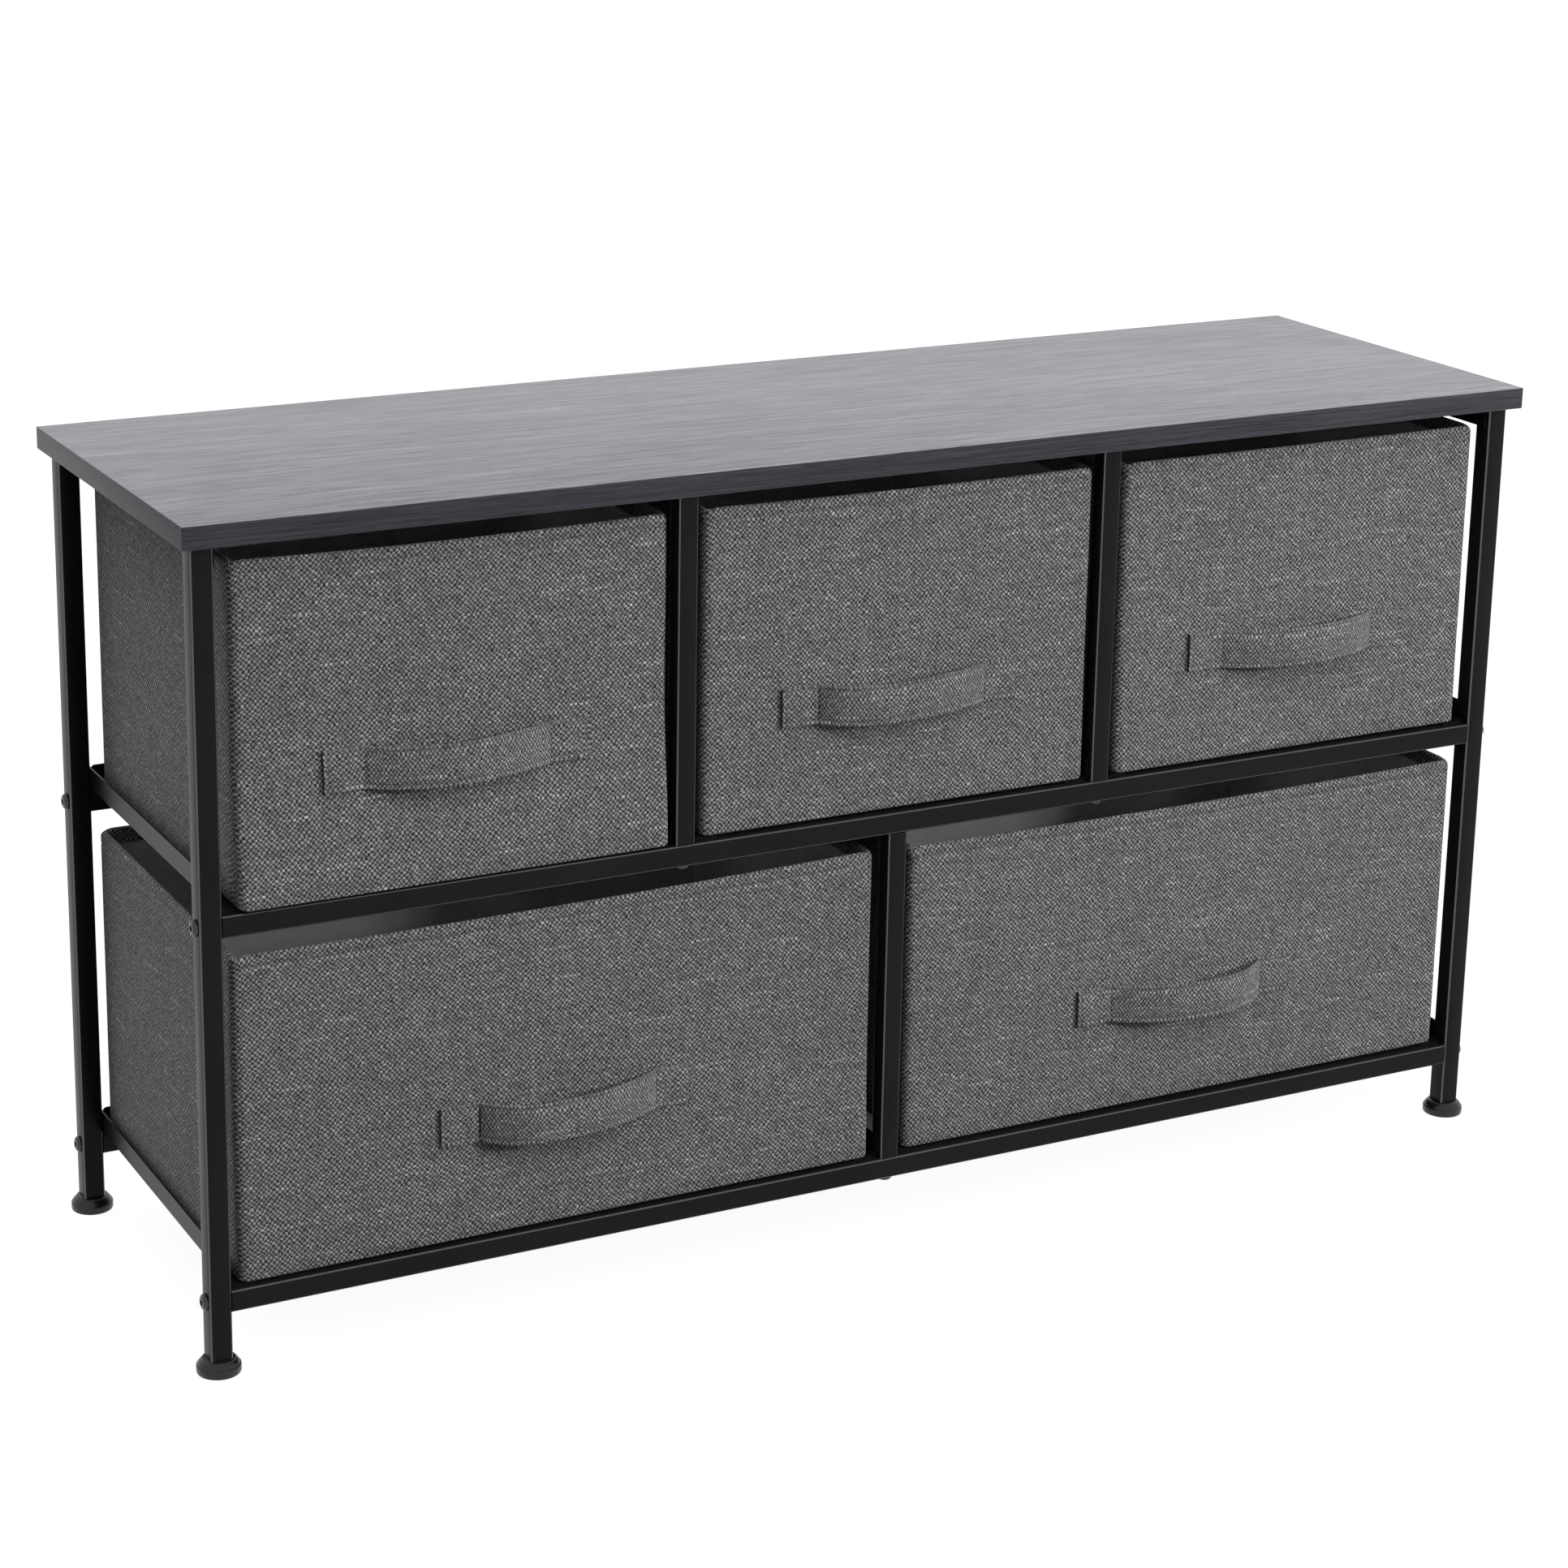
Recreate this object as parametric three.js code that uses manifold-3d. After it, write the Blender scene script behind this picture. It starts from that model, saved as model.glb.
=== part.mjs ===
// A wide chest of five fabric drawers, three over two. A laminated board lies on a frame of square steel
// tube that is bolted together at its long rails, and each drawer slides on two pressed angle runners.
// Millimetres, +Z up, the drawers open towards -Y. The floor is Z = 0 and the box around it is centred.
import * as THREE from "three";
import { mergeVertices } from "three/addons/utils/BufferGeometryUtils.js";
import Module from "manifold-3d";

const wasm = await Module();
wasm.setup();

// Overall size
const overallWidth = 1000;
const overallDepth = 300;
const overallHeight = 560;

// Board top
const topThickness = 15;
const topEdgeBevel = 0.6;
const sideOverhang = 7;
const frontOverhang = 8;

// Frame tube: posts and long rails
const tubeSize = 15;
const tubeWall = 1.2;
const tubeCornerRadius = 1.8;
const lowRailCentre = 49.5;
const lowerLevelExtra = 1;
const railPlugLength = 12;

// Dividers: a lighter tube between the long rails
const dividerSize = 14;
const dividerWall = 1;
const dividerCornerRadius = 1.6;
const dividerPlugLength = 12;
const sideBayExtra = 5;

// Glides in the feet of the posts
const footHeight = 10;
const footDiameter = 29;
const footRimHeight = 5.2;
const footEdgeRadius = 0.8;
const footNeckDiameter = 21.6;
const footNeckHeight = 0.6;
const stemClearance = 0.3;
const stemLength = 16;

// Angle runners, pressed from sheet, with a tab of the flange folded up behind as a stop
const sheetThickness = 1.2;
const sheetBendRadius = 2.8;
const runnerHeight = 16;
const runnerFlange = 18;
const runnerSetback = 6;
const reliefGap = 0.8;
const stopHeight = 14.5;
const stopCornerRadius = 3;
const stopClearance = 1.2;

// Angles that carry the board between the posts
const topAngleSheet = 1.5;
const topAngleBendRadius = 3;
const topAngleDrop = 14;
const topAngleFlange = 18;
const topAngleSetback = 3;
const topScrewHole = 4.2;
const topScrewSpacing = 190;

// Bolts: through the posts into the rails, and up through the rails into the dividers
const boltDiameter = 6;
const boltClearance = 0.3;
const boltLength = 24;
const boltTipBevel = 0.8;
const boltHeadDiameter = 11;
const boltHeadHeight = 3.2;
const boltHeadEdge = 0.8;
const boltHeadFlat = 6.4;
const socketAcrossCorners = 4.6;
const socketDepth = 2;

// Fabric drawers
const upperDrawerSideGap = 5;
const lowerDrawerSideGap = 7;
const drawerTopGap = 13;
const drawerSetback = 7;
const drawerRearSetback = 5;
const drawerSeatGap = 0.3;
const drawerWall = 3.6;
const drawerFloor = 1.6;
const drawerCornerRadius = 7;
const hemDepth = 12;
const hemThickness = 1.4;
const baseThickness = 3;
const baseClearance = 1;
const baseSeatGap = 0.2;

// Strap handles: two sewn ends and a loop that stands out between them
const strapLength = 181;
const strapHeight = 26.5;
const strapThickness = 2.2;
const strapPatchLength = 27;
const strapBulge = 18.5;
const strapFullness = 2.6;
const strapRise = 81;
const strapSeatGap = 0.3;

// One overrun for every cut
const cutOverrun = 2;

// Counts of facets
const cornerSteps = 2;
const roundSteps = 16;
const domeSteps = 3;
const loopSteps = 26;
const hexSides = 6;

// Levels and planes that more than one piece uses
const boardUnderside = overallHeight - topThickness;
const postCentreX = overallWidth / 2 - sideOverhang - tubeSize / 2;
const postCentreY = overallDepth / 2 - frontOverhang - tubeSize / 2;
const postOuterX = postCentreX + tubeSize / 2;
const postInnerX = postCentreX - tubeSize / 2;
const frameRearY = postCentreY + tubeSize / 2;
const frameFrontY = -frameRearY;

// The two levels share the clear height between the low rails and the board
const lowRailTop = lowRailCentre + tubeSize / 2;
const lowRailUnderside = lowRailCentre - tubeSize / 2;
const levelHeights = boardUnderside - lowRailTop - tubeSize;
const lowerLevelHeight = (levelHeights + lowerLevelExtra) / 2;
const upperLevelHeight = levelHeights - lowerLevelHeight;
const midRailUnderside = lowRailTop + lowerLevelHeight;
const midRailTop = midRailUnderside + tubeSize;
const midRailCentre = midRailUnderside + tubeSize / 2;

// The bays share the clear width between the posts, the two upper side bays a little wider
const upperBayWidths = 2 * (postInnerX - dividerSize);
const middleBayWidth = (upperBayWidths - 2 * sideBayExtra) / 3;
const lowerBayWidth = postInnerX - dividerSize / 2;
const upperDividerOffset = (middleBayWidth + dividerSize) / 2;

// The drawers fill their bays but for named gaps
const upperDrawerWidth = middleBayWidth - 2 * upperDrawerSideGap;
const lowerDrawerWidth = lowerBayWidth - 2 * lowerDrawerSideGap;
const drawerHeight = upperLevelHeight - sheetThickness - drawerSeatGap - drawerTopGap;
const drawerFrontY = frameFrontY + drawerSetback;
const drawerRearY = frameRearY - drawerRearSetback;
const drawerDepth = drawerRearY - drawerFrontY;
const runnerFrontY = frameFrontY + runnerSetback;
const runnerRearY = drawerRearY + stopClearance + sheetThickness;
const boltHoleRadius = boltDiameter / 2 + boltClearance;

// Finishes
const finish = (color, roughness, metalness) =>
  new THREE.MeshStandardMaterial({ color, roughness, metalness });
const laminate = finish(0x8d8d90, 0.55, 0);
const blackPaint = finish(0x1c1c1e, 0.42, 0.1);
const blackPlastic = finish(0x161617, 0.4, 0);
const blackSteel = finish(0x1a1a1b, 0.32, 0.6);
const greyLinen = finish(0x6e7072, 0.95, 0);
const greyLining = finish(0x8c8c8d, 0.95, 0);

const dresser = new THREE.Group();

// Closed shapes as solids, to join, cut and trim
function solidOf(geometry) {
  const bare = geometry.clone();
  bare.deleteAttribute("normal");
  bare.deleteAttribute("uv");
  const merged = mergeVertices(bare);
  return new wasm.Manifold(
    new wasm.Mesh({
      numProp: 3,
      vertProperties: new Float32Array(merged.attributes.position.array),
      triVerts: new Uint32Array(merged.index.array),
    }),
  );
}

function geometryOf(solid) {
  const mesh = solid.getMesh();
  const geometry = new THREE.BufferGeometry();
  geometry.setAttribute("position", new THREE.BufferAttribute(mesh.vertProperties, 3));
  geometry.setIndex(new THREE.BufferAttribute(mesh.triVerts, 1));
  geometry.computeVertexNormals();
  return geometry;
}

const cut = (body, ...tools) =>
  geometryOf(tools.reduce((left, tool) => left.subtract(solidOf(tool)), solidOf(body)));
const join = (body, other) => geometryOf(solidOf(body).add(solidOf(other)));
const trim = (body, keep) => geometryOf(solidOf(body).intersect(solidOf(keep)));

// Outlines and how they are extruded
function roundedRectangle(width, height, radius) {
  const x = width / 2 - radius;
  const y = height / 2 - radius;
  const shape = new THREE.Shape();
  shape.absarc(x, y, radius, 0, Math.PI / 2);
  shape.absarc(-x, y, radius, Math.PI / 2, Math.PI);
  shape.absarc(-x, -y, radius, Math.PI, 1.5 * Math.PI);
  shape.absarc(x, -y, radius, 1.5 * Math.PI, 2 * Math.PI);
  return shape;
}

const extrude = (shape, length) =>
  new THREE.ExtrudeGeometry(shape, {
    depth: length,
    bevelEnabled: false,
    curveSegments: cornerSteps,
  });

// Turns an extrusion so that its outline's X and Y axes and its length run along the given axes
const axes = {
  right: new THREE.Vector3(1, 0, 0),
  left: new THREE.Vector3(-1, 0, 0),
  back: new THREE.Vector3(0, 1, 0),
  front: new THREE.Vector3(0, -1, 0),
  up: new THREE.Vector3(0, 0, 1),
};
const turn = (geometry, across, along, length) =>
  geometry.applyMatrix4(new THREE.Matrix4().makeBasis(across, along, length));

// A block between two corners
function block([x0, y0, z0], [x1, y1, z1]) {
  return new THREE.BoxGeometry(x1 - x0, y1 - y0, z1 - z0).translate(
    (x0 + x1) / 2,
    (y0 + y1) / 2,
    (z0 + z1) / 2,
  );
}

// A straight pin along Z from one height to another
function pin(radius, fromZ, toZ, facets = roundSteps) {
  return new THREE.CylinderGeometry(radius, radius, toZ - fromZ, facets)
    .rotateX(Math.PI / 2)
    .translate(0, 0, (fromZ + toZ) / 2);
}

// A shape turned about Z, from points of radius and height that start and end on the axis
function turned(points) {
  const profile = points.map(([radius, height]) => new THREE.Vector2(radius, height));
  return new THREE.LatheGeometry(profile, roundSteps).rotateX(Math.PI / 2);
}

function place(name, geometry, material, x, y, z) {
  const mesh = new THREE.Mesh(geometry, material);
  mesh.name = name;
  mesh.position.set(x, y, z);
  dresser.add(mesh);
  return mesh;
}

const rows = { front: -1, rear: 1 };
const hands = { left: -1, right: 1 };
const corners = Object.entries(rows).flatMap(([rowName, row]) =>
  Object.entries(hands).map(([handName, hand]) => ({ name: `${rowName}_${handName}`, row, hand })),
);

// Board top: laminated board with eased edges
function boardTop() {
  const x = overallWidth / 2 - topEdgeBevel;
  const y = overallDepth / 2 - topEdgeBevel;
  const flat = new THREE.Shape();
  flat.moveTo(-x, -y);
  flat.lineTo(x, -y);
  flat.lineTo(x, y);
  flat.lineTo(-x, y);
  flat.closePath();
  return new THREE.ExtrudeGeometry(flat, {
    depth: topThickness - 2 * topEdgeBevel,
    bevelEnabled: true,
    bevelThickness: topEdgeBevel,
    bevelSize: topEdgeBevel,
    bevelSegments: 1,
  }).translate(0, 0, topEdgeBevel);
}

place("tabletop", boardTop(), laminate, 0, 0, boardUnderside);

// Posts: square tube, open at both ends, drilled across for the rail bolts
function post() {
  const bore = tubeSize - 2 * tubeWall;
  const outline = roundedRectangle(tubeSize, tubeSize, tubeCornerRadius);
  outline.holes.push(roundedRectangle(bore, bore, tubeCornerRadius - tubeWall));
  const tube = extrude(outline, boardUnderside - footHeight);
  const drill = pin(boltHoleRadius, -tubeSize, tubeSize).rotateY(Math.PI / 2);
  return cut(
    tube,
    drill.clone().translate(0, 0, midRailCentre - footHeight),
    drill.clone().translate(0, 0, lowRailCentre - footHeight),
  );
}

const postGeometry = post();
for (const { name, row, hand } of corners) {
  const x = hand * postCentreX;
  const y = row * postCentreY;
  place(`post_${name}`, postGeometry, blackPaint, x, y, footHeight);
}

// Glides: a moulded puck with a straight rim and a rounded shoulder, on a square stem inside the post
function glide() {
  const rim = footDiameter / 2;
  const neck = footNeckDiameter / 2;
  const shoulderTop = footHeight - footNeckHeight;
  const profile = [
    [0, 0],
    [rim - footEdgeRadius, 0],
    [rim, footEdgeRadius],
    [rim, footRimHeight],
  ];
  for (let step = 1; step <= domeSteps; step++) {
    const angle = ((step / domeSteps) * Math.PI) / 2;
    profile.push([
      neck + (rim - neck) * Math.cos(angle),
      footRimHeight + (shoulderTop - footRimHeight) * Math.sin(angle),
    ]);
  }
  profile.push([neck, footHeight], [0, footHeight]);
  const stem = tubeSize - 2 * (tubeWall + stemClearance);
  const outline = roundedRectangle(stem, stem, tubeCornerRadius);
  const plug = extrude(outline, stemLength + footNeckHeight);
  return join(turned(profile), plug.translate(0, 0, shoulderTop));
}

const glideGeometry = glide();
for (const { name, row, hand } of corners) {
  place(`foot_${name}`, glideGeometry, blackPlastic, hand * postCentreX, row * postCentreY, 0);
}

// Tube with a tapped plug in each end, along Z from its lower end
function pluggedTube(size, wall, cornerRadius, length, plugLength) {
  const bore = size - 2 * wall;
  const bar = extrude(roundedRectangle(size, size, cornerRadius), length);
  const hollow = extrude(
    roundedRectangle(bore, bore, cornerRadius - wall),
    length - 2 * plugLength,
  ).translate(0, 0, plugLength);
  return cut(bar, hollow, pin(boltHoleRadius, -cutOverrun, length + cutOverrun));
}

// Long rails: between the posts, drilled from below where a divider stands on them
function longRail(dividerPlaces) {
  const length = 2 * postInnerX;
  const tube = pluggedTube(tubeSize, tubeWall, tubeCornerRadius, length, railPlugLength);
  const rail = turn(tube, axes.back, axes.up, axes.right).translate(-postInnerX, 0, 0);
  const drills = dividerPlaces.map((x) =>
    pin(boltHoleRadius, -tubeSize, tubeSize).translate(x, 0, 0),
  );
  return cut(rail, ...drills);
}

const upperDividerPlaces = [-upperDividerOffset, upperDividerOffset];
const lowerDividerPlaces = [0];
const midRail = longRail(upperDividerPlaces);
const lowRail = longRail(lowerDividerPlaces);
for (const [rowName, row] of Object.entries(rows)) {
  place(`mid_rail_${rowName}`, midRail, blackPaint, 0, row * postCentreY, midRailCentre);
  place(`low_rail_${rowName}`, lowRail, blackPaint, 0, row * postCentreY, lowRailCentre);
}

// Dividers: lighter plugged tube, front and rear
const divider = (length) =>
  pluggedTube(dividerSize, dividerWall, dividerCornerRadius, length, dividerPlugLength);
const upperDivider = divider(boardUnderside - midRailTop);
const lowerDivider = divider(midRailUnderside - lowRailTop);
for (const [rowName, row] of Object.entries(rows)) {
  const y = row * postCentreY;
  for (const [handName, hand] of Object.entries(hands)) {
    const x = hand * upperDividerOffset;
    place(`upper_divider_${rowName}_${handName}`, upperDivider, blackPaint, x, y, midRailTop);
  }
  place(`lower_divider_${rowName}`, lowerDivider, blackPaint, 0, y, lowRailTop);
}

// Sheet folded to an angle: one leg up from the bend and one leg flat away from it
function angleOutline(width, height, sheet, bend) {
  const shape = new THREE.Shape();
  shape.moveTo(0, height);
  shape.lineTo(0, bend);
  shape.absarc(bend, bend, bend, Math.PI, 1.5 * Math.PI);
  shape.lineTo(width, 0);
  shape.lineTo(width, sheet);
  shape.lineTo(bend, sheet);
  shape.absarc(bend, bend, bend - sheet, 1.5 * Math.PI, Math.PI, true);
  shape.lineTo(sheet, height);
  shape.closePath();
  return shape;
}

// Runner: a long angle whose flange has a tab at the rear, folded up as the drawer's stop. A relief cut
// parts the two folds, so the upright leg runs on past the tab's fold.
function runner() {
  const outline = angleOutline(runnerFlange, runnerHeight, sheetThickness, sheetBendRadius);
  const angle = turn(
    extrude(outline, runnerRearY - runnerFrontY),
    axes.right,
    axes.up,
    axes.front,
  ).translate(0, runnerRearY, 0);
  const foldStartY = runnerRearY - sheetBendRadius;
  const notch = block(
    [sheetThickness, foldStartY, -cutOverrun],
    [runnerFlange + cutOverrun, runnerRearY + cutOverrun, runnerHeight + cutOverrun],
  );

  const tabStartX = sheetBendRadius + reliefGap;
  const tabWidth = runnerFlange - tabStartX;
  const tabLeg = 2 * sheetBendRadius;
  const tabOutline = angleOutline(tabLeg, stopHeight, sheetThickness, sheetBendRadius);
  const tab = turn(extrude(tabOutline, tabWidth), axes.front, axes.up, axes.left);
  const rounding = roundedRectangle(tabWidth, 2 * stopHeight, stopCornerRadius);
  const window = turn(extrude(rounding, 2 * tabLeg), axes.right, axes.up, axes.front);
  const stop = trim(
    tab.translate(runnerFlange, runnerRearY, 0),
    window.translate(tabStartX + tabWidth / 2, runnerRearY + tabLeg / 2, 0),
  );
  return join(cut(angle, notch), stop);
}

// The two faces of each bay, on the posts and the dividers
const dividerHalf = dividerSize / 2;
const bays = {
  upper: {
    left: [-postInnerX, -upperDividerOffset - dividerHalf],
    middle: [-upperDividerOffset + dividerHalf, upperDividerOffset - dividerHalf],
    right: [upperDividerOffset + dividerHalf, postInnerX],
  },
  lower: {
    left: [-postInnerX, -dividerHalf],
    right: [dividerHalf, postInnerX],
  },
};
const railTops = { upper: midRailTop, lower: lowRailTop };
const drawerWidths = { upper: upperDrawerWidth, lower: lowerDrawerWidth };

// One runner on each side of a bay, the right one mirrored
const runnerGeometry = runner();
for (const [level, row] of Object.entries(bays)) {
  for (const [bay, [leftFace, rightFace]] of Object.entries(row)) {
    const z = railTops[level];
    place(`runner_${level}_${bay}_l`, runnerGeometry, blackPaint, leftFace, 0, z);
    place(`runner_${level}_${bay}_r`, runnerGeometry, blackPaint, rightFace, 0, z).scale.x = -1;
  }
}

// Top angles: hung under the board inside the posts, drilled for the board's screws
function topAngle() {
  const length = 2 * (frameRearY - topAngleSetback);
  const outline = angleOutline(topAngleFlange, topAngleDrop, topAngleSheet, topAngleBendRadius);
  const angle = turn(extrude(outline, length), axes.right, axes.up, axes.front);
  const holes = [-1, 1].map((row) =>
    pin(topScrewHole / 2, -topAngleSheet, 2 * topAngleSheet).translate(
      (topAngleBendRadius + topAngleFlange) / 2,
      (row * topScrewSpacing) / 2,
      0,
    ),
  );
  return cut(angle.translate(0, length / 2, 0), ...holes);
}

const topAngleGeometry = topAngle();
for (const [handName, hand] of Object.entries(hands)) {
  const x = hand * postInnerX;
  const mesh = place(`top_angle_${handName}`, topAngleGeometry, blackPaint, x, 0, boardUnderside);
  mesh.scale.set(-hand, 1, -1);
}

// Bolts: button head with a hexagon socket, head up, the underside of the head at Z = 0
function bolt() {
  const shank = boltDiameter / 2;
  const head = boltHeadDiameter / 2;
  const flat = boltHeadFlat / 2;
  const profile = [
    [0, -boltLength],
    [shank - boltTipBevel, -boltLength],
    [shank, boltTipBevel - boltLength],
    [shank, 0],
    [head, 0],
    [head, boltHeadEdge],
  ];
  for (let step = 1; step <= domeSteps; step++) {
    const angle = ((step / domeSteps) * Math.PI) / 2;
    profile.push([
      flat + (head - flat) * Math.cos(angle),
      boltHeadEdge + (boltHeadHeight - boltHeadEdge) * Math.sin(angle),
    ]);
  }
  profile.push([0, boltHeadHeight]);
  const socket = pin(
    socketAcrossCorners / 2,
    boltHeadHeight - socketDepth,
    boltHeadHeight + cutOverrun,
    hexSides,
  );
  return cut(turned(profile), socket);
}

const boltGeometry = bolt();
const railCentres = { mid: midRailCentre, low: lowRailCentre };
for (const { name, row, hand } of corners) {
  for (const [level, z] of Object.entries(railCentres)) {
    const x = hand * postOuterX;
    const mesh = place(`bolt_${level}_${name}`, boltGeometry, blackSteel, x, row * postCentreY, z);
    mesh.rotation.y = (hand * Math.PI) / 2;
  }
}
for (const [rowName, row] of Object.entries(rows)) {
  const y = row * postCentreY;
  for (const [handName, hand] of Object.entries(hands)) {
    const x = hand * upperDividerOffset;
    const name = `bolt_divider_${rowName}_${handName}`;
    place(name, boltGeometry, blackSteel, x, y, midRailUnderside).rotation.x = Math.PI;
  }
  const name = `bolt_divider_${rowName}_lower`;
  place(name, boltGeometry, blackSteel, 0, y, lowRailUnderside).rotation.x = Math.PI;
}

// Drawer shell: cloth over stiff board, open above, with a band of its wall folded in at the rim
function drawerShell(width) {
  const outline = roundedRectangle(width, drawerDepth, drawerCornerRadius);
  const inside = (inset) =>
    roundedRectangle(width - 2 * inset, drawerDepth - 2 * inset, drawerCornerRadius - drawerWall);
  const hollow = extrude(inside(drawerWall), drawerHeight - hemDepth - drawerFloor);
  const mouth = extrude(inside(drawerWall + hemThickness), drawerHeight);
  return cut(
    extrude(outline, drawerHeight),
    hollow.translate(0, 0, drawerFloor),
    mouth.translate(0, 0, drawerFloor),
  );
}

// Base board: stiffens the floor of a drawer
function baseBoard(width) {
  const inset = drawerWall + baseClearance;
  return extrude(
    roundedRectangle(
      width - 2 * inset,
      drawerDepth - 2 * inset,
      drawerCornerRadius - drawerWall,
    ),
    baseThickness,
  );
}

// Strap: seen from above its back face leaves the drawer at one sewn end and comes back at the other
function strap() {
  const half = strapLength / 2;
  const loopHalf = half - strapPatchLength;
  const spine = [new THREE.Vector2(-half, 0)];
  for (let step = 0; step <= loopSteps; step++) {
    const share = (2 * step) / loopSteps - 1;
    const reach = strapBulge * (1 - Math.abs(share) ** strapFullness);
    spine.push(new THREE.Vector2(share * loopHalf, -reach));
  }
  spine.push(new THREE.Vector2(half, 0));
  const outer = spine.map((point, index) => {
    const before = spine[Math.max(index - 1, 0)];
    const after = spine[Math.min(index + 1, spine.length - 1)];
    const direction = after.clone().sub(before).normalize();
    return new THREE.Vector2(direction.y, -direction.x).multiplyScalar(strapThickness).add(point);
  });
  return extrude(new THREE.Shape([...spine, ...outer.reverse()]), strapHeight);
}

const strapGeometry = strap();
for (const [level, row] of Object.entries(bays)) {
  const width = drawerWidths[level];
  const z = railTops[level] + sheetThickness + drawerSeatGap;
  const shell = drawerShell(width);
  const base = baseBoard(width);
  for (const [bay, [leftFace, rightFace]] of Object.entries(row)) {
    const x = (leftFace + rightFace) / 2;
    const y = drawerFrontY + drawerDepth / 2;
    const baseZ = z + drawerFloor + baseSeatGap;
    const strapZ = z + strapRise - strapHeight / 2;
    place(`drawer_${level}_${bay}`, shell, greyLinen, x, y, z);
    place(`base_${level}_${bay}`, base, greyLining, x, y, baseZ);
    place(`handle_${level}_${bay}`, strapGeometry, greyLinen, x, drawerFrontY - strapSeatGap, strapZ);
  }
}

// The straps reach out past the board's front edge, so the whole is moved back to centre its box
const strapReach = strapSeatGap + strapBulge + strapThickness - drawerFrontY;
dresser.position.y = (strapReach - overallDepth / 2) / 2;

export default dresser;
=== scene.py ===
# A wide chest of five fabric drawers on a black tube frame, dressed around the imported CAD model.
import math

import bpy
import bmesh
from mathutils import Matrix, Vector


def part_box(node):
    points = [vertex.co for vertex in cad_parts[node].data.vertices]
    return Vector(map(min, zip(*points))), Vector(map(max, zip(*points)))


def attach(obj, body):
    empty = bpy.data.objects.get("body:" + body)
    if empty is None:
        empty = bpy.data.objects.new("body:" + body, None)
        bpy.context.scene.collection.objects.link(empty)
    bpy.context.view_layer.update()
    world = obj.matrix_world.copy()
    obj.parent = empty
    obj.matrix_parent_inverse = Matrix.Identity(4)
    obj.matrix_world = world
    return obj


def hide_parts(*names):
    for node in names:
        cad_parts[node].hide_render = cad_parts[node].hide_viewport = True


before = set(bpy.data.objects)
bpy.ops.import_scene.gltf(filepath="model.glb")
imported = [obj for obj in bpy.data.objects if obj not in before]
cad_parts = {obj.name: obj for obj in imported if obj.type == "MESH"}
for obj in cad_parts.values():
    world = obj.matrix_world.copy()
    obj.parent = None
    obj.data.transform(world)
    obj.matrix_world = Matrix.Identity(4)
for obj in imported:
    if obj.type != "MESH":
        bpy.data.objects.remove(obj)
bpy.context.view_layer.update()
MM = 0.001

# Camera and studio: the photograph is taken from the front left, a little above the board, with a long
# lens. A high softbox, a low card and a pale room light the chest, which stands on a pale floor.
photo_pixels = 1932
focal_pixels = 4393
camera_data = bpy.data.cameras.new("studio_camera")
camera_data.sensor_width = 36
camera_data.lens = focal_pixels / photo_pixels * camera_data.sensor_width
camera_data.shift_x = 0.0504
camera_data.shift_y = -0.1206
camera_data.clip_end = 60
camera = bpy.data.objects.new("studio_camera", camera_data)
bpy.context.scene.collection.objects.link(camera)
camera_place = (-1.1452, -2.1114, 1.08025)
camera_yaw = math.radians(26.81)
camera_pitch = math.radians(-15.26)
camera_roll = math.radians(0.69)
camera.matrix_world = (
    Matrix.Translation(camera_place)
    @ Matrix.Rotation(-camera_yaw, 4, "Z")
    @ Matrix.Rotation(math.pi / 2 + camera_pitch, 4, "X")
    @ Matrix.Rotation(camera_roll, 4, "Z")
)
bpy.context.scene.camera = camera
bpy.context.scene.view_settings.view_transform = "Standard"


def node(tree, kind, **values):
    """Adds a node, sets its properties, and returns it."""
    made = tree.nodes.new(kind)
    for key, value in values.items():
        setattr(made, key, value)
    return made


def maths(tree, operation, first, second=None):
    """One arithmetic step between sockets or numbers."""
    made = node(tree, "ShaderNodeMath", operation=operation)
    for index, value in enumerate((first, second)):
        if value is None:
            continue
        if isinstance(value, (int, float)):
            made.inputs[index].default_value = value
        else:
            tree.links.new(value, made.inputs[index])
    return made.outputs[0]


def rays_that_see(tree):
    """1 for camera, glossy and transmission rays, which see the white background."""
    path = node(tree, "ShaderNodeLightPath")
    seen = path.outputs["Is Camera Ray"]
    for ray in ("Is Glossy Ray", "Is Transmission Ray"):
        seen = maths(tree, "MAXIMUM", seen, path.outputs[ray])
    return seen


world = bpy.data.worlds.new("pale_room")
bpy.context.scene.world = world
world.use_nodes = True
room = world.node_tree
room.nodes.clear()
room_axes = node(room, "ShaderNodeSeparateXYZ")
room.links.new(node(room, "ShaderNodeTexCoord").outputs["Generated"], room_axes.inputs[0])


def room_step(axis, start, end, low, high):
    """A smooth change of the room's light between two values of a direction."""
    step = node(room, "ShaderNodeMapRange", interpolation_type="SMOOTHSTEP")
    for key, value in (("From Min", start), ("From Max", end), ("To Min", low), ("To Max", high)):
        step.inputs[key].default_value = value
    room.links.new(room_axes.outputs[axis], step.inputs["Value"])
    return step.outputs[0]


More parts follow.
